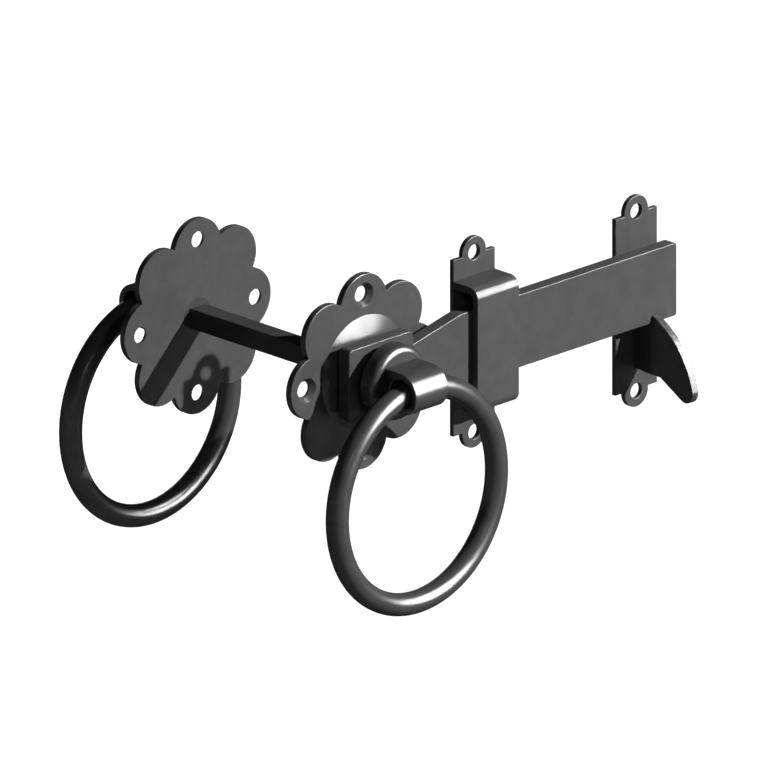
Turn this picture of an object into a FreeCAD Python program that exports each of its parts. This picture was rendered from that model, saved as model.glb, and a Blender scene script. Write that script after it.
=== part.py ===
"""Ring gate latch: scalloped roses, a turning spindle with ring handles, a latch bar, a guide and a catch.

Millimetres, +Z up. X runs along the latch bar towards the catch, Y runs into the gate.
The origin is on the spindle's axis, where the front rose meets the face of the gate.
"""
import FreeCAD
import Part
import Sketcher
import math
import os

doc = FreeCAD.newDocument("ring_gate_latch")

# Driving dimensions
SIZES = {
    "gate_thickness": 81.4,
    "running_clearance": 0.3,
    "journal_clearance": 0.08,
    "seat_clearance": 0.05,
    "rose_radius": 36.9,
    "rose_thickness": 2.6,
    "petal_count": 8,
    "petal_radius": 11.8,
    "dome_radius": 21.2,
    "dome_rise": 3.05,
    "rose_screw_count": 4,
    "rose_screw_circle": 29.0,
    "rose_screw_radius": 3.0,
    "countersink_radius": 4.7,
    "countersink_angle": 90.0,
    "spindle_side": 7.6,
    "bar_thickness": 5.3,
    "bar_height": 27.6,
    "bar_reach": 149.3,
    "head_length": 32.4,
    "head_corner": 2.2,
    "neck_height": 16.8,
    "flare_end": 40.5,
    "tip_corner": 1.2,
    "foot_radius": 10.0,
    "foot_length": 3.15,
    "collar_radius": 13.95,
    "collar_length": 7.05,
    "collar_round": 2.4,
    "socket_depth": 8.4,
    "journal_radius": 7.0,
    "eye_distance": 18.05,
    "knuckle_width": 16.6,
    "knuckle_height": 15.6,
    "eye_edge_round": 0.5,
    "grub_radius": 2.0,
    "grub_recess": 0.8,
    "grub_key": 2.0,
    "grub_key_depth": 2.5,
    "ring_radius": 40.2,
    "wire_radius": 4.2,
    "plate_width": 21.0,
    "plate_thickness": 2.0,
    "plate_hole_spacing": 68.0,
    "plate_hole_radius": 2.85,
    "ear_radius": 6.0,
    "shoulder_inset": 0.65,
    "guide_gap": 5.3,
    "guide_z": -3.0,
    "lift_room": 5.8,
    "drop_room": 8.9,
    "staple_wall": 2.7,
    "staple_bend": 4.1,
    "staple_clearance": 0.3,
    "staple_tenon": 10.0,
    "tip_overhang": 11.1,
    "catch_z": -8.0,
    "hook_thickness": 3.0,
    "hook_tenon": 12.0,
    "hook_depth": 18.8,
    "hook_ramp_reach": 32.6,
    "hook_ramp_drop": 28.8,
    "hook_ramp_radius": 35.2,
    "hook_tip_radius": 3.9,
    "hook_tip_drop": 3.15,
    "hook_root": 15.4,
    "hook_root_drop": 0.5,
}

sheet = doc.addObject("Spreadsheet::Sheet", "sizes")
for row, (name, size) in enumerate(SIZES.items(), start=1):
    sheet.set(f"A{row}", name)
    sheet.set(f"B{row}", str(size))
    sheet.setAlias(f"B{row}", name)
doc.recompute()

# Places worked out from the driving dimensions, as distances from the gate's face or the spindle's axis
ROSE_STACK = "(sizes.rose_thickness + sizes.dome_rise + sizes.running_clearance)"
BAR_FRONT = f"({ROSE_STACK} + sizes.bar_thickness)"
PETAL_CENTRE = "(sizes.rose_radius - sizes.petal_radius)"
SQUARE_HOLE = "(sizes.spindle_side + 2 * sizes.seat_clearance)"
SPINDLE_CORNER = "(sizes.spindle_side * sqrt(2) / 2)"
REAR_BASE = f"(sizes.gate_thickness + {ROSE_STACK})"
HALF_BAR = "(sizes.bar_height / 2)"
HALF_HEAD = "(sizes.head_length / 2)"
RING_SAG = "(sizes.ring_radius - sqrt(sizes.ring_radius ^ 2 - (sizes.knuckle_width / 2) ^ 2))"
EYE_RADIUS = f"(sizes.wire_radius + {RING_SAG} + sizes.running_clearance)"
STAPLE_FRONT = f"({BAR_FRONT} + sizes.staple_clearance + sizes.staple_wall)"
STAPLE_TOP = f"({HALF_BAR} + sizes.lift_room + sizes.staple_wall)"
STAPLE_LOW = f"(-{HALF_BAR} - sizes.drop_room - sizes.staple_wall)"
GUIDE_X = "(sizes.flare_end + sizes.guide_gap + sizes.plate_width / 2)"
CATCH_X = "(sizes.bar_reach - sizes.tip_overhang)"


def value(expression):
    return float(sheet.evalExpression(expression))


def origin_plane(body, role):
    return next(f for f in body.Origin.OriginFeatures if f.Role == role)


def new_body(label):
    body = doc.addObject("PartDesign::Body", label)
    body.Label = label
    return body


def new_sketch(body, role, name, offset="0"):
    sketch = body.newObject("Sketcher::SketchObject", name)
    sketch.AttachmentSupport = [(origin_plane(body, role), "")]
    sketch.MapMode = "FlatFace"
    sketch.setExpression(".AttachmentOffset.Base.z", offset)
    return sketch


def fix_distance(sketch, kind, geometry, point, distance):
    index = sketch.addConstraint(Sketcher.Constraint(kind, -1, 1, geometry, point, value(distance)))
    sketch.setExpression(f"Constraints[{index}]", distance)


def fix_point(sketch, geometry, point, across, up):
    fix_distance(sketch, "DistanceX", geometry, point, across)
    fix_distance(sketch, "DistanceY", geometry, point, up)


def fix_radius(sketch, geometry, radius):
    index = sketch.addConstraint(Sketcher.Constraint("Radius", geometry, value(radius)))
    sketch.setExpression(f"Constraints[{index}]", radius)


def draw_circle(sketch, across, up, radius):
    centre = FreeCAD.Vector(value(across), value(up), 0)
    circle = sketch.addGeometry(Part.Circle(centre, FreeCAD.Vector(0, 0, 1), value(radius)))
    fix_point(sketch, circle, 3, across, up)
    fix_radius(sketch, circle, radius)


def draw_polygon(sketch, corners):
    places = [FreeCAD.Vector(value(across), value(up), 0) for across, up in corners]
    followers = places[1:] + places[:1]
    lines = [sketch.addGeometry(Part.LineSegment(a, b)) for a, b in zip(places, followers)]
    for line, follower in zip(lines, lines[1:] + lines[:1]):
        sketch.addConstraint(Sketcher.Constraint("Coincident", line, 2, follower, 1))
    for line, (across, up) in zip(lines, corners):
        fix_point(sketch, line, 1, across, up)


def draw_rectangle(sketch, across, up, width, height):
    left, right = f"{across} - {width} / 2", f"{across} + {width} / 2"
    low, high = f"{up} - {height} / 2", f"{up} + {height} / 2"
    draw_polygon(sketch, [(left, low), (right, low), (right, high), (left, high)])


def pad(body, sketch, name, length, side="One side", reverse=False):
    feature = body.newObject("PartDesign::Pad", name)
    feature.Profile = sketch
    feature.SideType = side
    feature.Reversed = reverse
    feature.setExpression("Length", length)
    doc.recompute()
    return feature


def pocket(body, sketch, name, length=None, side="One side", reverse=False):
    before = body.Shape.Volume
    feature = body.newObject("PartDesign::Pocket", name)
    feature.Profile = sketch
    feature.SideType = side
    feature.Reversed = reverse
    if length is None:
        feature.Type = "ThroughAll"
        if side == "Two sides":
            feature.Type2 = "ThroughAll"
    else:
        feature.setExpression("Length", length)
    doc.recompute()
    if body.Shape.Volume >= before:
        raise RuntimeError(f"{body.Label}: {name} cuts nothing")


def polar_pattern(body, features, sketch, name, count):
    pattern = body.newObject("PartDesign::PolarPattern", name)
    pattern.Originals = features
    pattern.Axis = (sketch, ["N_Axis"])
    pattern.Angle = 360
    pattern.setExpression("Occurrences", count)
    body.Tip = pattern
    doc.recompute()


def round_edges(body, name, radius, chosen):
    base = body.Tip
    names = [f"Edge{i}" for i, edge in enumerate(base.Shape.Edges, start=1) if chosen(edge)]
    if not names:
        raise RuntimeError(f"{body.Label}: {name} finds no edge")
    fillet = body.newObject("PartDesign::Fillet", name)
    fillet.Base = (base, names)
    fillet.setExpression("Radius", radius)
    doc.recompute()


def along(edge, axis):
    straight = edge.Curve.TypeId == "Part::GeomLine"
    return straight and abs(abs(edge.Curve.Direction.dot(axis)) - 1) < 1e-6


def is_near(length, other):
    return abs(length - other) < 1e-4


def place(body, across="0", depth="0", up="0", half_turn=False):
    if half_turn:
        body.Placement.Rotation = FreeCAD.Rotation(FreeCAD.Vector(0, 0, 1), 180)
    body.setExpression(".Placement.Base.x", across)
    body.setExpression(".Placement.Base.y", depth)
    body.setExpression(".Placement.Base.z", up)
    doc.recompute()


AXIS_X = FreeCAD.Vector(1, 0, 0)
AXIS_Y = FreeCAD.Vector(0, 1, 0)


# Rose: a pressed plate with round petals and a low dome, drilled for the spindle and for countersunk screws.
# It is drawn with its back on the gate and its dome towards -Y.
def make_rose(label, bore):
    body = new_body(label)
    core = new_sketch(body, "XZ_Plane", f"{label}_core")
    draw_circle(core, "0", "0", PETAL_CENTRE)
    pad(body, core, f"{label}_disc", "sizes.rose_thickness")
    petal = new_sketch(body, "XZ_Plane", f"{label}_petal")
    draw_circle(petal, PETAL_CENTRE, "0", "sizes.petal_radius")
    first_petal = pad(body, petal, f"{label}_first_petal", "sizes.rose_thickness")
    polar_pattern(body, [first_petal], petal, f"{label}_petals", "sizes.petal_count")
    add_dome(body, label)
    hole = new_sketch(body, "XZ_Plane", f"{label}_bore")
    draw_circle(hole, "0", "0", bore)
    pocket(body, hole, f"{label}_spindle_hole", side="Two sides")
    add_rose_screw_holes(body, label)
    return body


def add_dome(body, label):
    face, crown = "-sizes.rose_thickness", "-(sizes.rose_thickness + sizes.dome_rise)"
    rim = "sizes.dome_radius"
    sphere = "((sizes.dome_radius ^ 2 + sizes.dome_rise ^ 2) / (2 * sizes.dome_rise))"
    sketch = new_sketch(body, "YZ_Plane", f"{label}_dome_profile")
    corners = [(crown, "0"), ("0", "0"), ("0", rim), (face, rim)]
    places = [FreeCAD.Vector(value(across), value(up), 0) for across, up in corners]
    lines = [sketch.addGeometry(Part.LineSegment(a, b)) for a, b in zip(places, places[1:])]
    centre = FreeCAD.Vector(value(f"{crown} + {sphere}"), 0, 0)
    sweep = math.asin(value(rim) / value(sphere))
    circle = Part.Circle(centre, FreeCAD.Vector(0, 0, 1), value(sphere))
    arc = sketch.addGeometry(Part.ArcOfCircle(circle, math.pi - sweep, math.pi))
    for line, follower in zip(lines, lines[1:]):
        sketch.addConstraint(Sketcher.Constraint("Coincident", line, 2, follower, 1))
    sketch.addConstraint(Sketcher.Constraint("Coincident", lines[-1], 2, arc, 1))
    sketch.addConstraint(Sketcher.Constraint("Coincident", arc, 2, lines[0], 1))
    fix_point(sketch, lines[0], 1, crown, "0")
    fix_point(sketch, lines[1], 1, "0", "0")
    fix_point(sketch, lines[2], 1, "0", rim)
    fix_point(sketch, lines[2], 2, face, rim)
    sketch.addConstraint(Sketcher.Constraint("PointOnObject", arc, 3, -1))
    dome = body.newObject("PartDesign::Revolution", f"{label}_dome")
    dome.Profile = sketch
    dome.ReferenceAxis = (sketch, ["H_Axis"])
    dome.Angle = 360
    doc.recompute()


def add_rose_screw_holes(body, label):
    sketch = new_sketch(body, "XZ_Plane", f"{label}_screw_place", "sizes.rose_thickness")
    draw_circle(sketch, "sizes.rose_screw_circle", "0", "sizes.rose_screw_radius")
    doc.recompute()
    before = body.Shape.Volume
    hole = body.newObject("PartDesign::Hole", f"{label}_screw_hole")
    hole.Profile = sketch
    hole.ThreadType = "None"
    hole.DepthType = "ThroughAll"
    hole.HoleCutType = "Countersink"
    hole.HoleCutCustomValues = True
    hole.setExpression("Diameter", "2 * sizes.rose_screw_radius")
    hole.setExpression("HoleCutDiameter", "2 * sizes.countersink_radius")
    hole.setExpression("HoleCutCountersinkAngle", "sizes.countersink_angle")
    doc.recompute()
    if body.Shape.Volume >= before:
        raise RuntimeError(f"{label}: the screw hole cuts nothing")
    polar_pattern(body, [hole], sketch, f"{label}_screw_holes", "sizes.rose_screw_count")


# Latch bar: one flat bar. Its head has the square hole for the spindle, and its neck flares out to the blade.
def make_latch_bar(label):
    body = new_body(label)
    outline = new_sketch(body, "XZ_Plane", f"{label}_outline")
    half_neck = "(sizes.neck_height / 2)"
    upper = [
        ("sizes.bar_reach", HALF_BAR),
        ("sizes.flare_end", HALF_BAR),
        (HALF_HEAD, half_neck),
        (HALF_HEAD, HALF_BAR),
        (f"-{HALF_HEAD}", HALF_BAR),
    ]
    lower = [(across, f"-{up}") for across, up in reversed(upper)]
    draw_polygon(outline, upper + lower)
    pad(body, outline, f"{label}_plate", "sizes.bar_thickness")
    hole = new_sketch(body, "XZ_Plane", f"{label}_square")
    draw_rectangle(hole, "0", "0", SQUARE_HOLE, SQUARE_HOLE)
    pocket(body, hole, f"{label}_square_hole", side="Two sides")

    def at_corner(edge, places):
        middle = edge.CenterOfMass
        level = is_near(abs(middle.z), value(HALF_BAR))
        return along(edge, AXIS_Y) and level and any(is_near(middle.x, x) for x in places)

    head_ends = [-value(HALF_HEAD), value(HALF_HEAD)]
    tip_end = [value("sizes.bar_reach")]
    round_edges(body, f"{label}_head_corners", "sizes.head_corner", lambda e: at_corner(e, head_ends))
    round_edges(body, f"{label}_tip_corners", "sizes.tip_corner", lambda e: at_corner(e, tip_end))
    place(body, depth=f"-{ROSE_STACK}")
    return body


# Handle boss: a round foot, a wider collar, and a half-round knuckle whose cross eye carries the ring.
# A square socket takes the spindle. A boss with no bar behind it has a round neck that turns in its rose.
COLLAR_FRONT = "(sizes.foot_length + sizes.collar_length)"


def make_boss(label, neck=None):
    body = new_body(label)
    disc = new_sketch(body, "XZ_Plane", f"{label}_collar_circle", "sizes.foot_length")
    draw_circle(disc, "0", "0", "sizes.collar_radius")
    pad(body, disc, f"{label}_collar", "sizes.collar_length")
    front = -value(COLLAR_FRONT)

    def at_front(edge):
        return is_near(edge.CenterOfMass.y, front)

    round_edges(body, f"{label}_collar_edge", "sizes.collar_round", at_front)
    foot = new_sketch(body, "XZ_Plane", f"{label}_foot_circle")
    draw_circle(foot, "0", "0", "sizes.foot_radius")
    pad(body, foot, f"{label}_foot", "sizes.foot_length")
    add_knuckle(body, label)
    if neck:
        journal = new_sketch(body, "XZ_Plane", f"{label}_neck_circle")
        draw_circle(journal, "0", "0", "sizes.journal_radius")
        pad(body, journal, f"{label}_neck", neck, reverse=True)
    mouth = new_sketch(body, "XZ_Plane", f"{label}_socket_square", f"-{neck}" if neck else "0")
    draw_rectangle(mouth, "0", "0", SQUARE_HOLE, SQUARE_HOLE)
    depth = f"{neck} + sizes.socket_depth" if neck else "sizes.socket_depth"
    pocket(body, mouth, f"{label}_socket", depth, reverse=True)
    return body


def add_knuckle(body, label):
    root = f"-({COLLAR_FRONT} - sizes.collar_length / 2)"
    eye, half = "-sizes.eye_distance", "(sizes.knuckle_height / 2)"
    sketch = new_sketch(body, "YZ_Plane", f"{label}_knuckle_side")
    places = [(eye, half), (root, half), (root, f"-{half}"), (eye, f"-{half}")]
    spots = [FreeCAD.Vector(value(a), value(b), 0) for a, b in places]
    lines = [sketch.addGeometry(Part.LineSegment(a, b)) for a, b in zip(spots, spots[1:])]
    centre = FreeCAD.Vector(value(eye), 0, 0)
    circle = Part.Circle(centre, FreeCAD.Vector(0, 0, 1), value(half))
    arc = sketch.addGeometry(Part.ArcOfCircle(circle, math.pi / 2, 3 * math.pi / 2))
    for line, follower in zip(lines, lines[1:]):
        sketch.addConstraint(Sketcher.Constraint("Coincident", line, 2, follower, 1))
    sketch.addConstraint(Sketcher.Constraint("Coincident", arc, 1, lines[0], 1))
    sketch.addConstraint(Sketcher.Constraint("Coincident", arc, 2, lines[-1], 2))
    for line, (across, up) in zip(lines, places):
        fix_point(sketch, line, 1, across, up)
    fix_point(sketch, lines[-1], 2, *places[-1])
    fix_distance(sketch, "DistanceX", arc, 3, eye)
    pad(body, sketch, f"{label}_knuckle", "sizes.knuckle_width", side="Symmetric")
    hole = new_sketch(body, "YZ_Plane", f"{label}_eye_circle")
    draw_circle(hole, eye, "0", EYE_RADIUS)
    pocket(body, hole, f"{label}_eye", side="Two sides")
    mouth = value("sizes.knuckle_width / 2")
    bore = value(EYE_RADIUS)

    def at_mouth(edge):
        round_edge = edge.Curve.TypeId == "Part::GeomCircle" and is_near(edge.Curve.Radius, bore)
        return round_edge and is_near(abs(edge.CenterOfMass.x), mouth)

    round_edges(body, f"{label}_eye_edges", "sizes.eye_edge_round", at_mouth)


# Grub screw: set screw with a hexagon socket, which clamps the rear boss to the spindle from below.
GRUB_PLACE = "(sizes.foot_length + (sizes.collar_length - sizes.collar_round) / 2)"
GRUB_END = "(sizes.collar_radius - sizes.grub_recess)"


def add_grub_hole(body, label):
    sketch = new_sketch(body, "XY_Plane", f"{label}_grub_circle")
    draw_circle(sketch, "0", f"-{GRUB_PLACE}", "sizes.grub_radius")
    pocket(body, sketch, f"{label}_grub_hole")


def make_grub_screw(label):
    body = new_body(label)
    shank = new_sketch(body, "XY_Plane", f"{label}_circle", f"-{GRUB_END}")
    draw_circle(shank, "0", "0", "sizes.grub_radius - sizes.seat_clearance")
    pad(body, shank, f"{label}_shank", f"{GRUB_END} - sizes.spindle_side / 2")
    key = new_sketch(body, "XY_Plane", f"{label}_hexagon", f"-{GRUB_END}")
    corner = "(sizes.grub_key / sqrt(3))"
    turns = range(0, 360, 60)
    draw_polygon(key, [(f"{corner} * cos({turn} deg)", f"{corner} * sin({turn} deg)") for turn in turns])
    pocket(body, key, f"{label}_key", "sizes.grub_key_depth", reverse=True)
    place(body, depth=f"{REAR_BASE} + {GRUB_PLACE}")
    return body


# Spindle: square bar from the front boss, through the latch bar, both roses and the gate, to the rear boss.
def make_spindle(label):
    bar = doc.addObject("Part::Box", label)
    bar.Label = label
    bar.setExpression("Length", "sizes.spindle_side")
    bar.setExpression("Height", "sizes.spindle_side")
    bar.setExpression("Width", f"{BAR_FRONT} + {REAR_BASE} + 2 * sizes.socket_depth")
    place(bar, "-sizes.spindle_side / 2", f"-({BAR_FRONT} + sizes.socket_depth)", "-sizes.spindle_side / 2")
    return bar


# Ring: round wire bent to a circle, hanging in the eye of its boss.
def make_ring(label, depth):
    ring = doc.addObject("Part::Torus", label)
    ring.Label = label
    ring.setExpression("Radius1", "sizes.ring_radius")
    ring.setExpression("Radius2", "sizes.wire_radius")
    ring.Placement.Rotation = FreeCAD.Rotation(AXIS_X, 90)
    place(ring, depth=depth, up="-sizes.ring_radius")
    return ring


# Eared plate: flat plate with a drilled half-round ear at each end, shared by the guide and the catch.
def make_eared_plate(label):
    body = new_body(label)
    middle = new_sketch(body, "XZ_Plane", f"{label}_middle")
    middle_height = "(sizes.plate_hole_spacing - 2 * sizes.shoulder_inset)"
    draw_rectangle(middle, "0", "0", "sizes.plate_width", middle_height)
    pad(body, middle, f"{label}_sheet", "sizes.plate_thickness")
    ears = new_sketch(body, "XZ_Plane", f"{label}_ear_circles")
    holes = new_sketch(body, "XZ_Plane", f"{label}_hole_circles")
    for end in ("sizes.plate_hole_spacing / 2", "-sizes.plate_hole_spacing / 2"):
        draw_circle(ears, "0", end, "sizes.ear_radius")
        draw_circle(holes, "0", end, "sizes.plate_hole_radius")
    pad(body, ears, f"{label}_ears", "sizes.plate_thickness")
    pocket(body, holes, f"{label}_screw_holes", side="Two sides")
    return body


def cut_slots(body, label, places, width, height):
    slots = new_sketch(body, "XZ_Plane", f"{label}_slots")
    slot_width = f"({width} + 2 * sizes.seat_clearance)"
    slot_height = f"({height} + 2 * sizes.seat_clearance)"
    for up in places:
        draw_rectangle(slots, "0", up, slot_width, slot_height)
    pocket(body, slots, f"{label}_tenon_slots", side="Two sides")


# Guide staple: strap bent to a U round the latch bar. Its legs end in tenons riveted through the guide plate.
STAPLE_LEGS = (f"({STAPLE_TOP} - sizes.staple_wall / 2)", f"({STAPLE_LOW} + sizes.staple_wall / 2)")


def make_guide_staple(label):
    body = new_body(label)
    seat, outside = "-sizes.plate_thickness", f"-{STAPLE_FRONT}"
    inside = f"-({STAPLE_FRONT} - sizes.staple_wall)"
    under_top, over_low = f"({STAPLE_TOP} - sizes.staple_wall)", f"({STAPLE_LOW} + sizes.staple_wall)"
    bent = new_sketch(body, "YZ_Plane", f"{label}_side")
    outer = [(seat, STAPLE_TOP), (outside, STAPLE_TOP), (outside, STAPLE_LOW), (seat, STAPLE_LOW)]
    inner = [(seat, over_low), (inside, over_low), (inside, under_top), (seat, under_top)]
    draw_polygon(bent, outer + inner)
    pad(body, bent, f"{label}_strap", "sizes.plate_width", side="Symmetric")

    def at_bend(edge, depth):
        return along(edge, AXIS_X) and is_near(edge.CenterOfMass.y, value(depth))

    round_edges(body, f"{label}_outer_bends", "sizes.staple_bend", lambda e: at_bend(e, outside))
    inner_bend = "sizes.staple_bend - sizes.staple_wall"
    round_edges(body, f"{label}_inner_bends", inner_bend, lambda e: at_bend(e, inside))
    tenons = new_sketch(body, "XZ_Plane", f"{label}_tenon_ends", "sizes.plate_thickness")
    for up in STAPLE_LEGS:
        draw_rectangle(tenons, "0", up, "sizes.staple_tenon", "sizes.staple_wall")
    pad(body, tenons, f"{label}_tenons", "sizes.plate_thickness", reverse=True)
    place(body, GUIDE_X)
    return body


# Catch hook: curved blade on edge. The bar rides up its ramp and drops into the notch behind the nose.
# Its tenon is riveted through the catch plate.
NOTCH_FLOOR = f"-({HALF_BAR} + sizes.running_clearance)"
NOSE_BACK = f"-({BAR_FRONT} + sizes.staple_clearance)"
HOOK_LOW = f"({NOTCH_FLOOR} - sizes.hook_depth)"
TENON_MIDDLE = f"({NOTCH_FLOOR} - sizes.hook_depth / 2)"


def make_catch_hook(label):
    body = new_body(label)
    seat, tenon = "-sizes.plate_thickness", "(sizes.hook_tenon / 2)"
    ramp_across = "(sizes.hook_ramp_radius - sizes.hook_ramp_reach)"
    ramp_up = f"({NOTCH_FLOOR} - sizes.hook_ramp_drop)"
    ramp_radius, tip_radius = "sizes.hook_ramp_radius", "sizes.hook_tip_radius"
    tip_up = f"({HOOK_LOW} - sizes.hook_tip_drop)"
    root = ("-sizes.hook_root", f"({HOOK_LOW} - sizes.hook_root_drop)")
    nose = value(NOSE_BACK)
    centre = FreeCAD.Vector(value(ramp_across), value(ramp_up), 0)
    radius, small = value(ramp_radius), value(tip_radius)
    nose_rise = math.sqrt(radius ** 2 - (nose - centre.x) ** 2)
    nose_turn = math.atan2(nose_rise, nose - centre.x)
    tip_turn = math.pi - math.asin((value(tip_up) - centre.y) / (radius - small))
    tip_centre = centre + FreeCAD.Vector(math.cos(tip_turn), math.sin(tip_turn), 0) * (radius - small)
    root_spot = FreeCAD.Vector(value(root[0]), value(root[1]), 0)
    to_root = root_spot - tip_centre
    edge_turn = math.atan2(to_root.y, to_root.x) - math.acos(small / to_root.Length)
    edge_spot = tip_centre + FreeCAD.Vector(math.cos(edge_turn), math.sin(edge_turn), 0) * small

    side = new_sketch(body, "YZ_Plane", f"{label}_side")
    upright = FreeCAD.Vector(0, 0, 1)
    ramp = side.addGeometry(Part.ArcOfCircle(Part.Circle(centre, upright, radius), nose_turn, tip_turn))
    tip_circle = Part.Circle(tip_centre, upright, small)
    tip = side.addGeometry(Part.ArcOfCircle(tip_circle, tip_turn, edge_turn + 2 * math.pi))
    corners = [
        root,
        (seat, HOOK_LOW),
        (seat, f"{TENON_MIDDLE} - {tenon}"),
        ("0", f"{TENON_MIDDLE} - {tenon}"),
        ("0", f"{TENON_MIDDLE} + {tenon}"),
        (seat, f"{TENON_MIDDLE} + {tenon}"),
        (seat, NOTCH_FLOOR),
        (NOSE_BACK, NOTCH_FLOOR),
    ]
    spots = [FreeCAD.Vector(value(a), value(b), 0) for a, b in corners]
    spots = [edge_spot] + spots + [FreeCAD.Vector(nose, centre.y + nose_rise, 0)]
    lines = [side.addGeometry(Part.LineSegment(a, b)) for a, b in zip(spots, spots[1:])]
    for line, follower in zip(lines, lines[1:]):
        side.addConstraint(Sketcher.Constraint("Coincident", line, 2, follower, 1))
    for line, (across, up) in zip(lines[1:], corners):
        fix_point(side, line, 1, across, up)
    side.addConstraint(Sketcher.Constraint("Vertical", lines[-1]))
    side.addConstraint(Sketcher.Constraint("Coincident", lines[-1], 2, ramp, 1))
    side.addConstraint(Sketcher.Constraint("Tangent", ramp, 2, tip, 1))
    side.addConstraint(Sketcher.Constraint("Tangent", tip, 2, lines[0], 1))
    fix_point(side, ramp, 3, ramp_across, ramp_up)
    fix_radius(side, ramp, ramp_radius)
    fix_radius(side, tip, tip_radius)
    fix_distance(side, "DistanceY", tip, 3, tip_up)
    pad(body, side, f"{label}_blade", "sizes.hook_thickness", side="Symmetric")
    place(body, CATCH_X)
    return body


front_rose = make_rose("front_rose", f"{SPINDLE_CORNER} + sizes.running_clearance")
rear_rose = make_rose("rear_rose", "sizes.journal_radius + sizes.journal_clearance")
place(front_rose)
place(rear_rose, depth="sizes.gate_thickness", half_turn=True)

latch_bar = make_latch_bar("latch_bar")
spindle = make_spindle("spindle")
front_boss = make_boss("front_boss")
place(front_boss, depth=f"-{BAR_FRONT}")
rear_boss = make_boss("rear_boss", ROSE_STACK)
add_grub_hole(rear_boss, "rear_boss")
place(rear_boss, depth=REAR_BASE, half_turn=True)
rear_grub_screw = make_grub_screw("rear_grub_screw")
front_ring = make_ring("front_ring", f"-({BAR_FRONT} + sizes.eye_distance)")
rear_ring = make_ring("rear_ring", f"{REAR_BASE} + sizes.eye_distance")

guide_plate = make_eared_plate("guide_plate")
leg_slots = [f"({leg} - sizes.guide_z)" for leg in STAPLE_LEGS]
cut_slots(guide_plate, "guide_plate", leg_slots, "sizes.staple_tenon", "sizes.staple_wall")
place(guide_plate, GUIDE_X, up="sizes.guide_z")
guide_staple = make_guide_staple("guide_staple")
catch_plate = make_eared_plate("catch_plate")
hook_slot = [f"({TENON_MIDDLE} - sizes.catch_z)"]
cut_slots(catch_plate, "catch_plate", hook_slot, "sizes.hook_thickness", "sizes.hook_tenon")
place(catch_plate, CATCH_X, up="sizes.catch_z")
catch_hook = make_catch_hook("catch_hook")

SUB_PARTS = [
    front_rose,
    rear_rose,
    latch_bar,
    spindle,
    front_boss,
    rear_boss,
    rear_grub_screw,
    front_ring,
    rear_ring,
    guide_plate,
    guide_staple,
    catch_plate,
    catch_hook,
]

doc.recompute()
for obj in doc.Objects:
    if "Invalid" in obj.State or "Error" in obj.State:
        raise RuntimeError(f"{obj.Label} failed: {obj.State}")
for part in SUB_PARTS:
    if part.Shape.isNull() or not part.Shape.isValid() or len(part.Shape.Solids) != 1:
        raise RuntimeError(f"{part.Label} is not one valid solid")

os.makedirs("parts", exist_ok=True)
for part in SUB_PARTS:
    part.Shape.exportStep(f"parts/{part.Label}.step")
    box = part.Shape.BoundBox
    print(f"{part.Label}: {part.Shape.Volume / 1000:.2f} cm3, X {box.XMin:.2f} to {box.XMax:.2f},",
          f"Y {box.YMin:.2f} to {box.YMax:.2f}, Z {box.ZMin:.2f} to {box.ZMax:.2f}")
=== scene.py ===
import math
import bmesh
import bpy
from mathutils import Matrix, Vector


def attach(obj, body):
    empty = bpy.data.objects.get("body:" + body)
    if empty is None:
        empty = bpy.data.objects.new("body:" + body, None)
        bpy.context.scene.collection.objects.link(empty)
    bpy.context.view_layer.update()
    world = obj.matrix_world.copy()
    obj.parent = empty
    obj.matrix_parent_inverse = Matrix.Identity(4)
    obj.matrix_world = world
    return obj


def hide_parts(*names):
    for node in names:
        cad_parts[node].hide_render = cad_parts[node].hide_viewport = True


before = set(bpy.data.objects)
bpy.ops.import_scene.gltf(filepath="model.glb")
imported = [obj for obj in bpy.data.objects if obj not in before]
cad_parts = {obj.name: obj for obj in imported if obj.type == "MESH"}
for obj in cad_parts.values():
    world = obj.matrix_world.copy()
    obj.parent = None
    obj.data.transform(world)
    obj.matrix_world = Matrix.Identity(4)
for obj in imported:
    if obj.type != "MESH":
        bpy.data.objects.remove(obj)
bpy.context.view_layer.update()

# Roses: a pair of discs pressed from steel sheet, one for each face of the gate, with a rim of round
# petals and a low dome pressed up in the middle. They are drilled and countersunk for wood screws, then
# dipped in black enamel.
mm = 0.001
petal_count = 8
petal_circle = 25.1 * mm
petal_radius = 11.8 * mm
rose_radius = petal_circle + petal_radius
rose_sheet = 2.6 * mm
rose_edge = 0.35 * mm
rose_crease = 14
dome_radius = 21.2 * mm
dome_rise = 3.05 * mm
front_bore = 5.67 * mm
rear_bore = 7.08 * mm
screw_count = 4
screw_circle = 29.0 * mm
screw_hole = 3.0 * mm
screw_mouth = 4.7 * mm
gate_back = 81.4 * mm
enamel_tone = (0.08, 0.08, 0.082)
bare_steel = (0.22, 0.215, 0.21)


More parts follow.
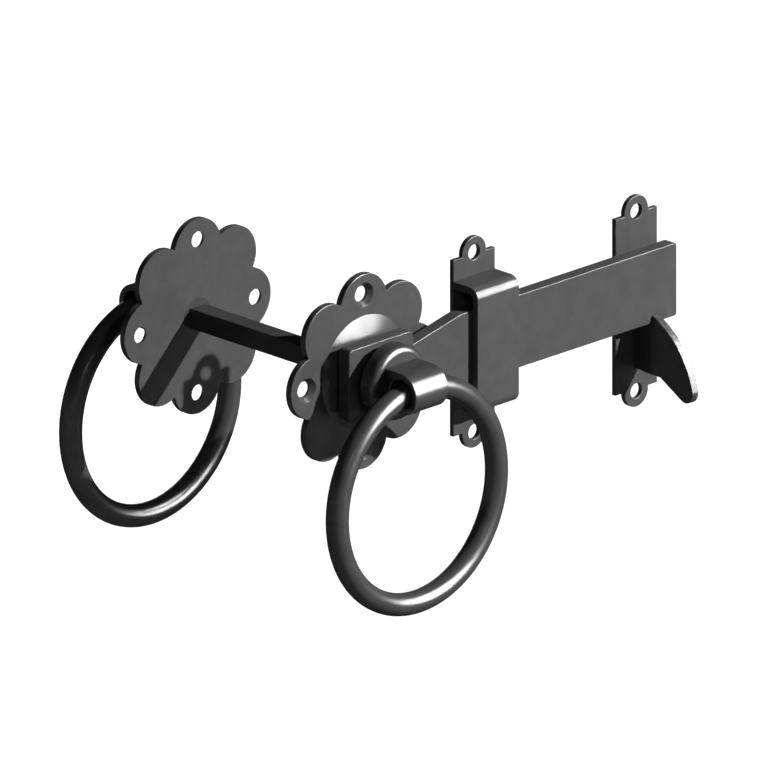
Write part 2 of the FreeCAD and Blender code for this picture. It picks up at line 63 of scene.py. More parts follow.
class Signal:
    """One output of a node. Arithmetic on it adds Math nodes to its tree, and add() any other node."""

    def __init__(self, tree, socket=None):
        self.tree = tree
        self.socket = socket

    def add(self, kind, settings=None, sockets=None, out=0):
        node = self.tree.nodes.new(kind)
        for name, setting in (settings or {}).items():
            setattr(node, name, setting)
        for name, value in (sockets or {}).items():
            if isinstance(value, Signal):
                value.feed(node, name)
            else:
                node.inputs[name].default_value = value
        return Signal(self.tree, node.outputs[out])

    def feed(self, node, name):
        self.tree.links.new(self.socket, node.inputs[name])

    def maths(self, operation, *others):
        return self.add("ShaderNodeMath", {"operation": operation}, dict(enumerate((self, *others))))

    def __add__(self, other):
        return self.maths("ADD", other)

    def __sub__(self, other):
        return self.maths("SUBTRACT", other)

    def __mul__(self, other):
        return self.maths("MULTIPLY", other)

    def __truediv__(self, other):
        return self.maths("DIVIDE", other)

    __radd__ = __add__
    __rmul__ = __mul__

    def __rsub__(self, other):
        return self.add("ShaderNodeMath", {"operation": "SUBTRACT"}, {0: other, 1: self})

    def __rtruediv__(self, other):
        return self.add("ShaderNodeMath", {"operation": "DIVIDE"}, {0: other, 1: self})

    def fade(self, start, end):
        sockets = {"Value": self, "From Min": start, "From Max": end}
        return self.add("ShaderNodeMapRange", {"interpolation_type": "SMOOTHSTEP"}, sockets)

    def noise(self, scale, detail, roughness=0.5):
        sockets = {"Vector": self, "Scale": scale, "Detail": detail, "Roughness": roughness}
        return self.add("ShaderNodeTexNoise", None, sockets)

    def axes(self):
        split = self.add("ShaderNodeSeparateXYZ", None, {"Vector": self}).socket.node
        return [Signal(self.tree, socket) for socket in split.outputs]

    def blend(self, first, second):
        # A Mix node takes its two colours in sockets 6 and 7, and gives the mixed one in its output 2.
        ends = [colour if isinstance(colour, Signal) else (*colour, 1) for colour in (first, second)]
        sockets = {"Factor": self, 6: ends[0], 7: ends[1]}
        return self.add("ShaderNodeMix", {"data_type": "RGBA"}, sockets, 2)


def black_enamel(name, tone, gloss, polish, grain, rub=None):
    # Thin dipped enamel: slightly uneven gloss, a fine orange peel, and a little bare steel on the edges.
    # polish is the share of clear gloss on top, which fades as a face turns edge-on, and gloss is its
    # roughness. grain gives the steel below its marks per metre along X, Y and Z, and rub turns a place
    # on the piece into a share of wear.
    edge_width = 0.5 * mm
    edge_wear = 0.3
    bump_depth = 0.05 * mm
    satin = 0.35
    material = bpy.data.materials.new(name)
    material.use_nodes = True
    finish = material.node_tree.nodes["Principled BSDF"]
    start = Signal(material.node_tree)
    place = start.add("ShaderNodeTexCoord", out="Object")
    cloud = place.noise(scale=150, detail=5, roughness=0.6)
    peel = place.noise(scale=900, detail=2)
    stretched = start.add("ShaderNodeMapping", None, {"Vector": place, "Scale": grain})
    marks = stretched.noise(scale=1, detail=2)
    specks = {"Vector": place, "Scale": 420, "Randomness": 1.0}
    nib = start.add("ShaderNodeTexVoronoi", None, specks, "Distance")
    facing = start.add("ShaderNodeNewGeometry", out="Normal")
    softened = start.add("ShaderNodeBevel", {"samples": 6}, {"Radius": edge_width})
    normals = {0: facing, 1: softened}
    agreement = start.add("ShaderNodeVectorMath", {"operation": "DOT_PRODUCT"}, normals, "Value")
    wear = (1 - agreement).fade(0.015, 0.12) * cloud.fade(0.42, 0.7) * edge_wear
    if rub:
        wear = wear.maths("MAXIMUM", rub(place) * peel.fade(0.3, 0.75))
    deep, pale = [tuple(part * share for part in tone) for share in (0.93, 1.07)]
    colour = wear.blend(cloud.fade(0.3, 0.7).blend(deep, pale), bare_steel)
    height = peel * 0.5 + nib.fade(0.0, 0.25) * 0.2 + marks * 0.9
    relief = {"Strength": 0.2, "Distance": bump_depth, "Height": height}
    roughness = (cloud - 0.5) * 0.16 + satin - wear * 0.06
    head_on = 1 - start.add("ShaderNodeLayerWeight", None, {"Blend": 0.5}, "Facing")
    sheen = (cloud.fade(0.25, 0.75) * 0.4 + 0.8) * polish * (1 - wear) * head_on * head_on
    colour.feed(finish, "Base Color")
    roughness.feed(finish, "Roughness")
    sheen.feed(finish, "Coat Weight")
    (wear * 0.7).feed(finish, "Metallic")
    start.add("ShaderNodeBump", None, relief).feed(finish, "Normal")
    finish.inputs["Specular IOR Level"].default_value = 0.0
    finish.inputs["Coat Roughness"].default_value = gloss
    return material


pressed_enamel = black_enamel(
    "pressed_black_enamel", enamel_tone, gloss=0.2, polish=0.36, grain=(50, 700, 700)
)


def placed(name, data):
    item = bpy.data.objects.new(name, data)
    bpy.context.scene.collection.objects.link(item)
    return item


def new_piece(name, mesh, material, body, node):
    piece = placed(name, mesh)
    mesh.materials.clear()
    mesh.materials.append(material)
    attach(piece, body)
    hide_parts(node)


def meshed(shape):
    mesh = bpy.data.meshes.new("shape")
    shape.to_mesh(mesh)
    shape.free()
    return mesh


def baked(holder):
    # The holder's mesh with its modifiers applied. The holder is thrown away.
    graph = bpy.context.evaluated_depsgraph_get()
    graph.update()
    mesh = bpy.data.meshes.new_from_object(holder.evaluated_get(graph))
    bpy.data.objects.remove(holder)
    return mesh


def shaded(mesh, crease):
    # Smooth over turns below the crease, while a flat face stays flat up to its eased edges.
    for face in mesh.polygons:
        face.use_smooth = True
    mesh.set_sharp_from_angle(angle=math.radians(crease))
    holder = placed("shading", mesh)
    flats = holder.modifiers.new("flats", "WEIGHTED_NORMAL")
    flats.mode = "FACE_AREA_WITH_ANGLE"
    flats.keep_sharp = True
    return baked(holder)


def arc(centre, radius, begin, end, steps):
    turns = [begin + (end - begin) * step / steps for step in range(steps + 1)]
    return [centre + Vector((math.cos(turn), math.sin(turn))) * radius for turn in turns]


def spun(profile, steps):
    # A closed outline of (radius, place along Y) points, turned once round the Y axis.
    touching = 0.001 * mm
    shape = bmesh.new()
    corners = [shape.verts.new((radius, along, 0)) for radius, along in profile]
    lines = [shape.edges.new(pair) for pair in zip(corners, corners[1:] + corners[:1])]
    turn = {"cent": (0, 0, 0), "axis": (0, 1, 0), "angle": math.tau, "steps": steps, "use_merge": True}
    bmesh.ops.spin(shape, geom=corners + lines, **turn)
    bmesh.ops.remove_doubles(shape, verts=shape.verts, dist=touching)
    bmesh.ops.recalc_face_normals(shape, faces=shape.faces)
    return meshed(shape)


def rose_blank(bore):
    # A round blank with the dome in it. The narrow bands beside the dome and the rim keep their bend out
    # of the flat's shading.
    band = 0.3 * mm
    dome_steps = 12
    edge_steps = 8
    petal_steps = 24
    ball = (dome_radius ** 2 + dome_rise ** 2) / (2 * dome_rise)
    profile = [(bore, 0)]
    for step in range(dome_steps + 1):
        radius = bore + (dome_radius - bore) * step / dome_steps
        rise = math.sqrt(ball ** 2 - radius ** 2) - (ball - dome_rise)
        profile.append((radius, -rose_sheet - rise))
    rim = Vector((rose_radius - rose_edge, rose_edge - rose_sheet))
    profile += [(dome_radius + band, -rose_sheet), (rim.x - band, -rose_sheet)]
    profile += arc(rim, rose_edge, -math.pi / 2, 0, steps=edge_steps)
    profile.append((rose_radius, 0))
    return spun(profile, steps=petal_count * petal_steps)


def tool_inputs(tree, inputs):
    # Gives a tree of Geometry Nodes its named inputs, each with its kind and its value, and one product.
    for name, kind, value in inputs:
        socket = tree.interface.new_socket(name, in_out="INPUT", socket_type="NodeSocket" + kind)
        if value is not None:
            socket.default_value = value
    tree.interface.new_socket("Product", in_out="OUTPUT", socket_type="NodeSocketGeometry")
    given = tree.nodes.new("NodeGroupInput")
    return {socket.name: Signal(tree, socket) for socket in given.outputs if socket.name}


def tool_product(shape, enamel):
    # Ends the shape's tree: real geometry in place of instances, with its enamel on.
    shape = shape.add("GeometryNodeRealizeInstances", None, {"Geometry": shape})
    shape = shape.add("GeometryNodeSetMaterial", None, {"Geometry": shape, "Material": enamel})
    shape.feed(shape.tree.nodes.new("NodeGroupOutput"), "Product")


def rose_press():
    # The press tool: it draws the rim in between the petals and drills the countersunk screw holes.
    hole_steps = 60
    drill_length = 20 * mm
    overcut = 0.6 * mm
    touching = 0.002 * mm
    tree = bpy.data.node_groups.new("rose_press", "GeometryNodeTree")
    taken = tool_inputs(tree, [
        ("Blank", "Geometry", None),
        ("Petals", "Int", petal_count),
        ("Petal Circle", "Float", petal_circle),
        ("Petal Radius", "Float", petal_radius),
        ("Screws", "Int", screw_count),
        ("Screw Circle", "Float", screw_circle),
        ("Hole Radius", "Float", screw_hole),
        ("Mouth Radius", "Float", screw_mouth),
        ("Enamel", "Material", None),
    ])
    start = Signal(tree)
    across, along, up = start.add("GeometryNodeInputPosition").axes()
    flat = start.add("ShaderNodeCombineXYZ", None, {"X": across, "Z": up})
    radius = start.add("ShaderNodeVectorMath", {"operation": "LENGTH"}, {0: flat}, "Value")
    half = math.pi / taken["Petals"]
    turn = up.maths("ARCTAN2", across).maths("WRAP", half, half * -1)
    circle, petal = taken["Petal Circle"], taken["Petal Radius"]
    aside = circle * turn.maths("SINE")
    reach = circle * turn.maths("COSINE") + (petal * petal - aside * aside).maths("SQRT")
    limits = {"Value": radius, "From Min": dome_radius, "From Max": rose_radius - rose_edge}
    share = start.add("ShaderNodeMapRange", None, limits)
    draw = share * (reach / (circle + petal) - 1) + 1
    drawn = start.add("ShaderNodeCombineXYZ", None, {"X": across * draw, "Y": along, "Z": up * draw})
    rose = start.add("GeometryNodeSetPosition", None, {"Geometry": taken["Blank"], "Position": drawn})
    spots = {"Vertices": taken["Screws"], "Radius": taken["Screw Circle"]}
    spots = start.add("GeometryNodeMeshCircle", None, spots)
    drill = {"Vertices": hole_steps, "Radius": taken["Hole Radius"], "Depth": drill_length}
    drill = start.add("GeometryNodeMeshCylinder", None, drill)
    mouth = taken["Mouth Radius"] + overcut
    sink = {"Vertices": hole_steps, "Radius Top": mouth, "Radius Bottom": 0.0, "Depth": mouth}
    sink = start.add("GeometryNodeMeshCone", None, sink)
    lift = start.add("ShaderNodeCombineXYZ", None, {"Z": rose_sheet - taken["Mouth Radius"]})
    sink = start.add("GeometryNodeTransform", None, {"Geometry": sink, "Translation": lift})
    for cutter in (drill, sink):
        cuts = start.add("GeometryNodeInstanceOnPoints", None, {"Points": spots, "Instance": cutter})
        cuts = start.add("GeometryNodeRealizeInstances", None, {"Geometry": cuts})
        turned = {"Geometry": cuts, "Rotation": (math.pi / 2, 0, 0)}
        cuts = start.add("GeometryNodeTransform", None, turned)
        cutting = {"operation": "DIFFERENCE", "solver": "MANIFOLD"}
        rose = start.add("GeometryNodeMeshBoolean", cutting, {"Mesh 1": rose, "Mesh 2": cuts})
    clean = {"Geometry": rose, "Distance": touching}
    tool_product(start.add("GeometryNodeMergeByDistance", None, clean), taken["Enamel"])
    return tree


def made_with(tool, blank, enamel):
    # The blank as the tool leaves it, as a plain mesh.
    holder = placed("blank", blank)
    making = holder.modifiers.new("making", "NODES")
    making.node_group = tool
    enamel_input = next(item for item in tool.interface.items_tree if item.name == "Enamel")
    making[enamel_input.identifier] = enamel
    return baked(holder)


press = rose_press()
facing_back = Matrix.Translation((0, gate_back, 0)) @ Matrix.Rotation(math.pi, 4, "Z")
for node, bore, where in (("front_rose", front_bore, Matrix()), ("rear_rose", rear_bore, facing_back)):
    rose_mesh = made_with(press, rose_blank(bore), pressed_enamel)
    rose_mesh.transform(where)
    rose_mesh = shaded(rose_mesh, rose_crease)
    new_piece(node + "_pressed", rose_mesh, pressed_enamel, "plates", node)


# Latch bar: one length of flat bar, cut to a square-holed head, a waisted neck and a long plain blade.
# Its edges are eased with a file before it is enamelled, and the staple and the hook rub its face and
# its lower edge.
bar_back = -5.95 * mm
bar_front = -11.25 * mm
bar_edge = 0.35 * mm
bar_half = 13.8 * mm
bar_reach = 149.3 * mm
head_half = 16.2 * mm
neck_half = 8.4 * mm
flare_end = 40.5 * mm
end_round = 1.2 * mm
flare_round = 3.0 * mm
neck_round = 0.4 * mm
head_round = 2.2 * mm
spindle_half = 3.8 * mm
fit = 0.05 * mm
hole_half = spindle_half + fit
guide_across = 56.3 * mm
catch_across = 138.2 * mm
sheet_crease = 30


def rounded(corners, steps=6):
    # An outline of (x, y, radius) corners, with each corner turned to its radius.
    outline = []
    for index, (x, y, radius) in enumerate(corners):
        here = Vector((x, y))
        before = (Vector(corners[index - 1][:2]) - here).normalized()
        after = (Vector(corners[(index + 1) % len(corners)][:2]) - here).normalized()
        if radius == 0:
            outline.append(here)
            continue
        half = before.angle(after) / 2
        centre = here + (before + after).normalized() * radius / math.sin(half)
        first = here + before * radius / math.tan(half) - centre
        last = here + after * radius / math.tan(half) - centre
        sweep = first.angle_signed(last)
        for step in range(steps + 1):
            turned = first.copy()
            turned.rotate(Matrix.Rotation(-sweep * step / steps, 2))
            outline.append(centre + turned)
    return outline


def oblong(half_width, half_height, up=0.0, radius=0.0):
    sides = ((-1, -1), (1, -1), (1, 1), (-1, 1))
    return rounded([(x * half_width, up + y * half_height, radius) for x, y in sides])


def cut_sheet(outlines, thickness, edge):
    # Flat stock cut to an outline with holes, its edges eased. It lies in X and Y, its middle at Z = 0.
    touching = 0.002 * mm
    curve = bpy.data.curves.new("cut", "CURVE")
    curve.dimensions = "2D"
    curve.fill_mode = "BOTH"
    curve.extrude = thickness / 2 - edge
    curve.bevel_depth = edge
    curve.bevel_resolution = 3
    curve.offset = -edge
    for outline in outlines:
        spline = curve.splines.new("POLY")
        spline.points.add(len(outline) - 1)
        for point, spot in zip(spline.points, outline):
            point.co = (spot.x, spot.y, 0, 1)
        spline.use_cyclic_u = True
    shape = bmesh.new()
    shape.from_mesh(baked(placed("cut", curve)))
    bmesh.ops.remove_doubles(shape, verts=shape.verts, dist=touching)
    bmesh.ops.recalc_face_normals(shape, faces=shape.faces)
    if shape.calc_volume(signed=True) < 0:
        bmesh.ops.reverse_faces(shape, faces=shape.faces)
    return meshed(shape)


def stand_front(mesh, back, front, across=0.0, up=0.0):
    # The sheet stands in X and Z, between the given places along Y, and faces -Y.
    middle = Matrix.Translation((across, (back + front) / 2, up))
    mesh.transform(middle @ Matrix.Rotation(math.pi / 2, 4, "X"))
    return shaded(mesh, sheet_crease)


def bar_rub(place):
    # The staple rubs the top of the bar's face, and the hook rubs its lower edge.
    across, along, up = place.axes()
    in_staple = 1 - (across - guide_across).maths("ABSOLUTE").fade(6.5 * mm, 12.5 * mm)
    on_face = 1 - along.fade(bar_front, bar_front + bar_edge)
    at_top = up.fade(8 * mm, bar_half)
    in_hook = 1 - (across - catch_across).maths("ABSOLUTE").fade(1 * mm, 4 * mm)
    at_foot = 1 - up.fade(-bar_half, -10 * mm)
    return in_staple * on_face * at_top * 0.12 + in_hook * at_foot * 0.3


bar_enamel = black_enamel(
    "bar_black_enamel", enamel_tone, gloss=0.2, polish=0.22, grain=(40, 800, 800), rub=bar_rub
)
bar_upper = [
    (bar_reach, bar_half, end_round),
    (flare_end, bar_half, flare_round),
    (head_half, neck_half, neck_round),
    (head_half, bar_half, head_round),
    (-head_half, bar_half, head_round),
]
bar_lower = [(x, -y, radius) for x, y, radius in reversed(bar_upper)]
bar_outlines = [rounded(bar_upper + bar_lower), oblong(hole_half, hole_half)]
bar_mesh = cut_sheet(bar_outlines, bar_back - bar_front, bar_edge)
bar_mesh = stand_front(bar_mesh, bar_back, bar_front)
new_piece("latch_bar_forged", bar_mesh, bar_enamel, "handle", "latch_bar")


# Spindle: a plain length of square bar with softened corners, pressed into the front boss. It passes
# through the latch bar, both roses and the gate, and the rear boss slides on its far end.
spindle_front = -19.65 * mm
spindle_back = 95.75 * mm
spindle_corner = 0.4 * mm
spindle_edge = 0.5 * mm
forged_tone = (0.056, 0.056, 0.058)
spindle_enamel = black_enamel(
    "spindle_black_enamel", forged_tone, gloss=0.22, polish=0.2, grain=(800, 40, 800)
)
spindle_outline = oblong(spindle_half, spindle_half, radius=spindle_corner)
spindle_mesh = cut_sheet([spindle_outline], spindle_back - spindle_front, spindle_edge)
spindle_mesh = stand_front(spindle_mesh, spindle_back, spindle_front)
new_piece("spindle_bar", spindle_mesh, spindle_enamel, "handle", "spindle")


# Handle bosses: forged lugs, one on each face, with a round foot, a wider round-edged collar and a
# half-round knuckle, which is drilled across for the ring. A square socket takes the spindle, and the
# neck of the rear one turns in its rose.
foot_radius = 10.0 * mm
foot_length = 3.15 * mm
collar_radius = 13.95 * mm
collar_front = 10.2 * mm
collar_round = 2.4 * mm
collar_chamfer = 0.4 * mm
eye_distance = 18.05 * mm
eye_radius = 5.37 * mm
knuckle_half = 7.8 * mm
knuckle_width = 16.6 * mm
knuckle_edge = 0.5 * mm
knuckle_root = 6.6 * mm
neck_radius = 7.0 * mm
neck_length = 5.95 * mm
socket_depth = 8.4 * mm
grub_along = 5.475 * mm
grub_radius = 2.0 * mm
rear_base = 87.35 * mm
boss_crease = 25


def boss_rub(place):
    # The ring rubs the lower side of its eye, near the two mouths.
    across, up = place.axes()[::2]
    near_mouth = across.maths("ABSOLUTE").fade(6.6 * mm, 8.2 * mm)
    below = (1 - up.fade(-5.2 * mm, -3.4 * mm)) * up.fade(-6.6 * mm, -5.6 * mm)
    return near_mouth * below * 0.25


boss_enamel = black_enamel(
    "boss_black_enamel", forged_tone, gloss=0.25, polish=0.5, grain=(300, 300, 300), rub=boss_rub
)


def joined(first, second, operation):
    stock, tool = [placed("boss_stock", mesh) for mesh in (first, second)]
    cut = stock.modifiers.new("cut", "BOOLEAN")
    cut.object = tool
    cut.operation = operation
    cut.solver = "MANIFOLD"
    mesh = baked(stock)
    bpy.data.objects.remove(tool)
    return mesh


def square_stock(half, start, end):
    shape = bmesh.new()
    bmesh.ops.create_cube(shape, size=1)
    mesh = meshed(shape)
    middle = Matrix.Translation((0, (start + end) / 2, 0))
    mesh.transform(middle @ Matrix.Diagonal((2 * half, end - start, 2 * half, 1)))
    return mesh


def round_hole(centre, radius, steps=64):
    return arc(centre, radius, 0, math.tau, steps)[:-1]


def edgeways(across):
    # Turns a sheet on edge, so that it stands in Y and Z with its middle at the given X.
    return Matrix(((0, 0, 1, across), (1, 0, 0, 0), (0, 1, 0, 0), (0, 0, 0, 1)))


def boss(neck):
    # neck is the length of the round neck behind the foot, which only the rear boss has.
    overcut = 1 * mm
    drill_length = 20 * mm
    profile = [(0.0, neck)]
    if neck:
        profile += [(neck_radius, neck), (neck_radius, 0)]
    profile += [(foot_radius, 0), (foot_radius, -foot_length)]
    profile.append((collar_radius - collar_chamfer, -foot_length))
    profile.append((collar_radius, -foot_length - collar_chamfer))
    round_middle = Vector((collar_radius - collar_round, collar_round - collar_front))
    profile += arc(round_middle, collar_round, 0, -math.pi / 2, steps=10)
    profile.append((0.0, -collar_front))
    collar = spun(profile, steps=128)
    eye = Vector((-eye_distance, 0))
    outline = [Vector((-knuckle_root, -knuckle_half)), Vector((-knuckle_root, knuckle_half))]
    outline += arc(eye, knuckle_half, math.pi / 2, math.pi * 3 / 2, steps=48)
    knuckle = [outline, round_hole(eye, eye_radius, steps=72)]
    knuckle = cut_sheet(knuckle, knuckle_width, knuckle_edge)
    knuckle.transform(edgeways(0))
    mesh = joined(collar, knuckle, "UNION")
    mesh = joined(mesh, square_stock(hole_half, -socket_depth, neck + overcut), "DIFFERENCE")
    if neck:
        drill = [(0.0, 0.0), (grub_radius, 0.0), (grub_radius, drill_length), (0.0, drill_length)]
        drill = spun(drill, steps=48)
        drill.transform(Matrix.Translation((0, -grub_along, 0)) @ Matrix.Rotation(-math.pi / 2, 4, "X"))
        mesh = joined(mesh, drill, "DIFFERENCE")
    return mesh


front_boss_mesh = boss(0)
front_boss_mesh.transform(Matrix.Translation((0, bar_front, 0)))
rear_boss_mesh = boss(neck_length)
rear_boss_mesh.transform(Matrix.Translation((0, rear_base, 0)) @ Matrix.Rotation(math.pi, 4, "Z"))
for node, boss_mesh in (("front_boss", front_boss_mesh), ("rear_boss", rear_boss_mesh)):
    boss_mesh = shaded(boss_mesh, boss_crease)
    new_piece(node + "_forged", boss_mesh, boss_enamel, "handle", node)


# Grub screw: a socket set screw of blackened steel, under the rear boss, which clamps it to the spindle.
# Its thread is too fine to see in its hole, so the solid keeps its shape and the thread is in its finish.
def grub_steel():
    thread_pitch = 0.7 * mm
    thread_depth = 0.2 * mm
    material = bpy.data.materials.new("blackened_screw_steel")
    material.use_nodes = True
    finish = material.node_tree.nodes["Principled BSDF"]
    start = Signal(material.node_tree)
    place = start.add("ShaderNodeTexCoord", out="Object")
    thread = (place.axes()[2] * (math.tau / thread_pitch)).maths("SINE")
    grain = place.noise(scale=1500, detail=3)
    relief = {"Strength": 0.5, "Distance": thread_depth, "Height": thread}
    grain.fade(0.3, 0.7).blend((0.06, 0.06, 0.063), (0.1, 0.1, 0.103)).feed(finish, "Base Color")
    (grain * 0.2 + 0.3).feed(finish, "Roughness")
    start.add("ShaderNodeBump", None, relief).feed(finish, "Normal")
    finish.inputs["Metallic"].default_value = 0.8
    return material


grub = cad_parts["rear_grub_screw"]
grub.data.materials.clear()
grub.data.materials.append(grub_steel())


# Rings: round bar bent to a circle and closed by a weld inside the boss, one on each face. They hang
# loose in their eyes, which rub the enamel at the top of each ring.
ring_radius = 40.2 * mm
wire_radius = 4.2 * mm
ring_crease = 30


def ring_rub(place):
    across, up = place.axes()[::2]
    in_eye = 1 - across.maths("ABSOLUTE").fade(6 * mm, 11 * mm)
    return in_eye * up.fade(-7 * mm, -3 * mm) * 0.25


ring_enamel = black_enamel(
    "ring_black_enamel", forged_tone, gloss=0.24, polish=0.45, grain=(250, 250, 250), rub=ring_rub
)


def ring_bender():
    # The bending former: a round section carried along a circle that hangs from its top.
    tree = bpy.data.node_groups.new("ring_bender", "GeometryNodeTree")
    taken = tool_inputs(tree, [
        ("Ring Radius", "Float", ring_radius),
        ("Wire Radius", "Float", wire_radius),
        ("Enamel", "Material", None),
    ])
    start = Signal(tree)
    path = {"Resolution": 192, "Radius": taken["Ring Radius"]}
    path = start.add("GeometryNodeCurvePrimitiveCircle", None, path)
    section = {"Resolution": 56, "Radius": taken["Wire Radius"]}
    section = start.add("GeometryNodeCurvePrimitiveCircle", None, section)
    wire = start.add("GeometryNodeCurveToMesh", None, {"Curve": path, "Profile Curve": section})
    drop = start.add("ShaderNodeCombineXYZ", None, {"Z": taken["Ring Radius"] * -1})
    hung = {"Geometry": wire, "Translation": drop, "Rotation": (math.pi / 2, 0, 0)}
    tool_product(start.add("GeometryNodeTransform", None, hung), taken["Enamel"])
    return tree


bender = ring_bender()
for node, along in (("front_ring", bar_front - eye_distance), ("rear_ring", rear_base + eye_distance)):
    ring_mesh = made_with(bender, bpy.data.meshes.new("no_blank"), ring_enamel)
    ring_mesh.transform(Matrix.Translation((0, along, 0)))
    ring_mesh = shaded(ring_mesh, ring_crease)
    new_piece(node + "_bent", ring_mesh, ring_enamel, node, node)


# Guide: a stamped plate with a drilled ear at each end, and a strap bent to a staple over the latch bar.
# The strap's tenons are riveted flush through two slots in the plate.
plate_sheet = 2.0 * mm
plate_edge = 0.25 * mm
plate_half = 10.5 * mm
plate_hole = 2.85 * mm
ear_radius = 6.0 * mm
ear_up = 34.0 * mm
shoulder = 33.35 * mm
guide_up = -3.0 * mm
staple_top = 22.3 * mm
staple_low = -25.4 * mm
staple_wall = 2.7 * mm
staple_front = -14.25 * mm
staple_bend = 4.1 * mm
staple_edge = 0.3 * mm
tenon_half = 5.0 * mm
tenon_edge = 0.1 * mm


def eared_outline():
    # Up one side and over the top ear, then the same again turned by half a turn.
    rise = math.asin((shoulder - ear_up) / ear_radius)
    half = [Vector((plate_half, -shoulder)), Vector((plate_half, shoulder))]
    half += arc(Vector((0, ear_up)), ear_radius, rise, math.pi - rise, steps=40)
    return half + [-spot for spot in half]


def eared_plate(slots):
    holes = [round_hole(Vector((0, side * ear_up)), plate_hole) for side in (1, -1)]
    holes += [oblong(half_width + fit, half_height + fit, up) for up, half_width, half_height in slots]
    return cut_sheet([eared_outline()] + holes, plate_sheet, plate_edge)


def on_edge(mesh, across):
    mesh.transform(edgeways(across))
    return shaded(mesh, sheet_crease)


def merged(*meshes):
    shape = bmesh.new()
    for mesh in meshes:
        shape.from_mesh(mesh)
    return shaded(meshed(shape), sheet_crease)


plate_enamel = black_enamel(
    "plate_black_enamel", enamel_tone, gloss=0.2, polish=0.22, grain=(700, 700, 50)
)
legs = (staple_top - staple_wall / 2, staple_low + staple_wall / 2)
leg_slots = [(leg - guide_up, tenon_half, staple_wall / 2) for leg in legs]
guide_mesh = stand_front(eared_plate(leg_slots), 0, -plate_sheet, guide_across, guide_up)
new_piece("guide_plate_stamped", guide_mesh, plate_enamel, "plates", "guide_plate")

inner_bend = staple_bend - staple_wall
staple_back = -plate_sheet
strap = [
    (staple_back, staple_low, 0),
    (staple_front, staple_low, staple_bend),
    (staple_front, staple_top, staple_bend),
    (staple_back, staple_top, 0),
    (staple_back, staple_top - staple_wall, 0),
    (staple_front + staple_wall, staple_top - staple_wall, inner_bend),
    (staple_front + staple_wall, staple_low + staple_wall, inner_bend),
    (staple_back, staple_low + staple_wall, 0),
]
strap_mesh = cut_sheet([rounded(strap, steps=12)], 2 * plate_half, staple_edge)
strap_mesh = on_edge(strap_mesh, guide_across)
tenons = []
for leg in legs:
    tenon = cut_sheet([oblong(tenon_half, staple_wall / 2)], plate_sheet, tenon_edge)
    tenons.append(stand_front(tenon, 0, -plate_sheet, guide_across, leg))
staple_mesh = merged(strap_mesh, *tenons)
staple_enamel = black_enamel(
    "staple_black_enamel", enamel_tone, gloss=0.22, polish=0.32, grain=(800, 60, 60)
)
new_piece("guide_staple_bent", staple_mesh, staple_enamel, "plates", "guide_staple")


# Catch: the same stamped plate on the gate post, with a hook cut from bar and riveted through it on edge.
# The latch bar rides up the hook's round ramp, which wears bright, and drops into its notch.
catch_up = -8.0 * mm
hook_sheet = 3.0 * mm
hook_edge = 0.3 * mm
notch_floor = -14.1 * mm
nose_back = -11.55 * mm
hook_low = -32.9 * mm
hook_root = Vector((-15.4, -33.4)) * mm
ramp_centre = Vector((2.6, -42.9)) * mm
ramp_radius = 35.2 * mm
tip_up = -36.05 * mm
tip_radius = 3.9 * mm
hook_tenon_half = 6.0 * mm
hook_tenon_up = (notch_floor + hook_low) / 2


def hook_outline():
    # From the root, round the tip, up the ramp to the nose, down into the notch and round the tenon.
    drop = (tip_up - ramp_centre.y) / (ramp_radius - tip_radius)
    tip_turn = math.pi - math.asin(drop)
    tip = ramp_centre + Vector((math.cos(tip_turn), drop)) * (ramp_radius - tip_radius)
    to_root = hook_root - tip
    low_turn = math.atan2(to_root.y, to_root.x) - math.acos(tip_radius / to_root.length)
    nose_turn = math.acos((nose_back - ramp_centre.x) / ramp_radius)
    outline = [hook_root]
    outline += arc(tip, tip_radius, low_turn + math.tau, tip_turn, steps=24)
    outline += arc(ramp_centre, ramp_radius, tip_turn, nose_turn, steps=40)[1:]
    high, low = hook_tenon_up + hook_tenon_half, hook_tenon_up - hook_tenon_half
    corners = [(nose_back, notch_floor), (-plate_sheet, notch_floor), (-plate_sheet, high)]
    corners += [(0, high), (0, low), (-plate_sheet, low), (-plate_sheet, hook_low)]
    return outline + [Vector(corner) for corner in corners]


def hook_rub(place):
    # The bar rubs the rim of the ramp, most of all near the nose.
    along, up = place.axes()[1:]
    out, over = along - ramp_centre.x, up - ramp_centre.y
    away = (out * out + over * over).maths("SQRT")
    on_ramp = away.fade(ramp_radius - 0.9 * mm, ramp_radius - 0.1 * mm)
    return on_ramp * up.fade(-30 * mm, notch_floor) * 0.35


catch_mesh = eared_plate([(hook_tenon_up - catch_up, hook_sheet / 2, hook_tenon_half)])
catch_mesh = stand_front(catch_mesh, 0, -plate_sheet, catch_across, catch_up)
new_piece("catch_plate_stamped", catch_mesh, plate_enamel, "plates", "catch_plate")
hook_enamel = black_enamel(
    "hook_black_enamel", forged_tone, gloss=0.22, polish=0.36, grain=(700, 700, 60), rub=hook_rub
)
hook_mesh = on_edge(cut_sheet([hook_outline()], hook_sheet, hook_edge), catch_across)
new_piece("catch_hook_cut", hook_mesh, hook_enamel, "plates", "catch_hook")


# Studio: a pale floor well below the latch, a white surround that dims overhead, a main lamp and a large
# soft box to the right of the camera, a weak lamp to its left and one behind the latch. The camera looks
# from the left front, a little from above, with no perspective.
view_along = Vector((2, 2, -1)).normalized()
view_middle = Vector((5.15, -7.54, -4.77)) * mm
view_width = 274.29 * mm
floor_up = -400 * mm
floor_half = 6000 * mm
floor_tone = (0.12, 0.12, 0.12, 1)
white = (1, 1, 1)
overhead_tone = (0.25, 0.25, 0.25)


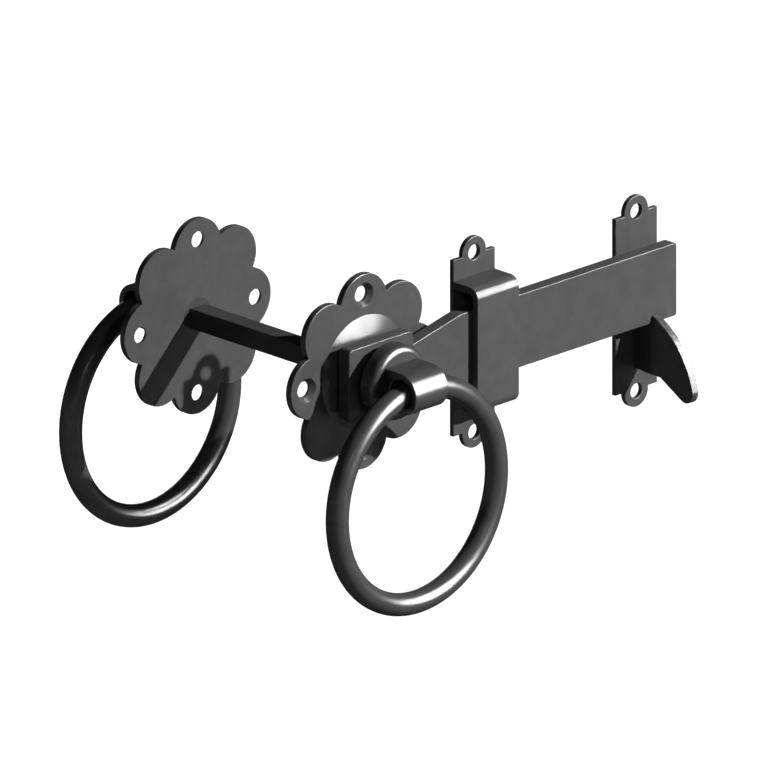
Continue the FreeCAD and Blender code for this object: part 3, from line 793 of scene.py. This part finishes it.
def surround(tree, shader, name, lit, seen):
    # The seen value for rays that look at it, straight or in a reflection, and the lit value for the
    # light that it sheds.
    path = Signal(tree).add("ShaderNodeLightPath").socket.node
    look = Signal(tree, path.outputs["Is Camera Ray"])
    for ray in ("Is Glossy Ray", "Is Transmission Ray"):
        look = look.maths("MAXIMUM", Signal(tree, path.outputs[ray]))
    (look * (seen - lit) + lit).feed(shader, name)


world = bpy.data.worlds.new("white_surround")
bpy.context.scene.world = world
world.use_nodes = True
sky = world.node_tree.nodes["Background"]
direction = Signal(world.node_tree).add("ShaderNodeTexCoord", out="Object")
direction.axes()[2].fade(0.0, 0.33).blend(white, overhead_tone).feed(sky, "Color")
surround(world.node_tree, sky, "Strength", lit=0.03, seen=1.0)

floor_corners = [(x, y, floor_up) for x, y in oblong(floor_half, floor_half)]
floor_mesh = bpy.data.meshes.new("floor")
floor_mesh.from_pydata(floor_corners, [], [(0, 1, 2, 3)])
floor = placed("floor", floor_mesh)
floor_paint = bpy.data.materials.new("pale_floor")
floor_paint.use_nodes = True
paint = floor_paint.node_tree.nodes["Principled BSDF"]
paint.inputs["Base Color"].default_value = floor_tone
paint.inputs["Roughness"].default_value = 0.9
paint.inputs["Specular IOR Level"].default_value = 0.0
paint.inputs["Emission Strength"].default_value = 1.0
surround(floor_paint.node_tree, paint, "Emission Color", lit=0.0, seen=0.9)
floor_mesh.materials.append(floor_paint)


def lamp(name, towards, distance, width, level):
    # level is the light that falls on a surface facing the lamp, where 1 shows a colour as it is written.
    light = bpy.data.lights.new(name, "AREA")
    light.shape = "DISK"
    light.size = width
    light.energy = level * (math.pi * distance) ** 2
    stand = placed(name, light)
    direction = Vector(towards).normalized()
    stand.location = view_middle + direction * distance
    stand.rotation_euler = direction.to_track_quat("Z", "Y").to_euler()
    return stand


lamp("main_lamp", (0.489, -0.719, 0.493), distance=1.6, width=0.02, level=1.55)
lamp("left_lamp", (-0.47, -0.79, 0.41), distance=1.5, width=0.2, level=0.05)
lamp("back_lamp", (0.55, 0.83, -0.05), distance=1.6, width=0.5, level=1.1)
# The soft box shows only in the gloss, so that it doesn't fill in the main lamp's shadows.
soft_box = lamp("soft_box", (0.571, -0.731, 0.375), distance=1.6, width=1.6, level=22)
soft_box.visible_diffuse = False
soft_box.visible_camera = False

camera_data = bpy.data.cameras.new("camera")
camera_data.type = "ORTHO"
camera_data.ortho_scale = view_width
camera = placed("camera", camera_data)
camera.location = view_middle - view_along
camera.rotation_euler = view_along.to_track_quat("-Z", "Y").to_euler()
bpy.context.scene.camera = camera
bpy.context.scene.view_settings.view_transform = "Standard"
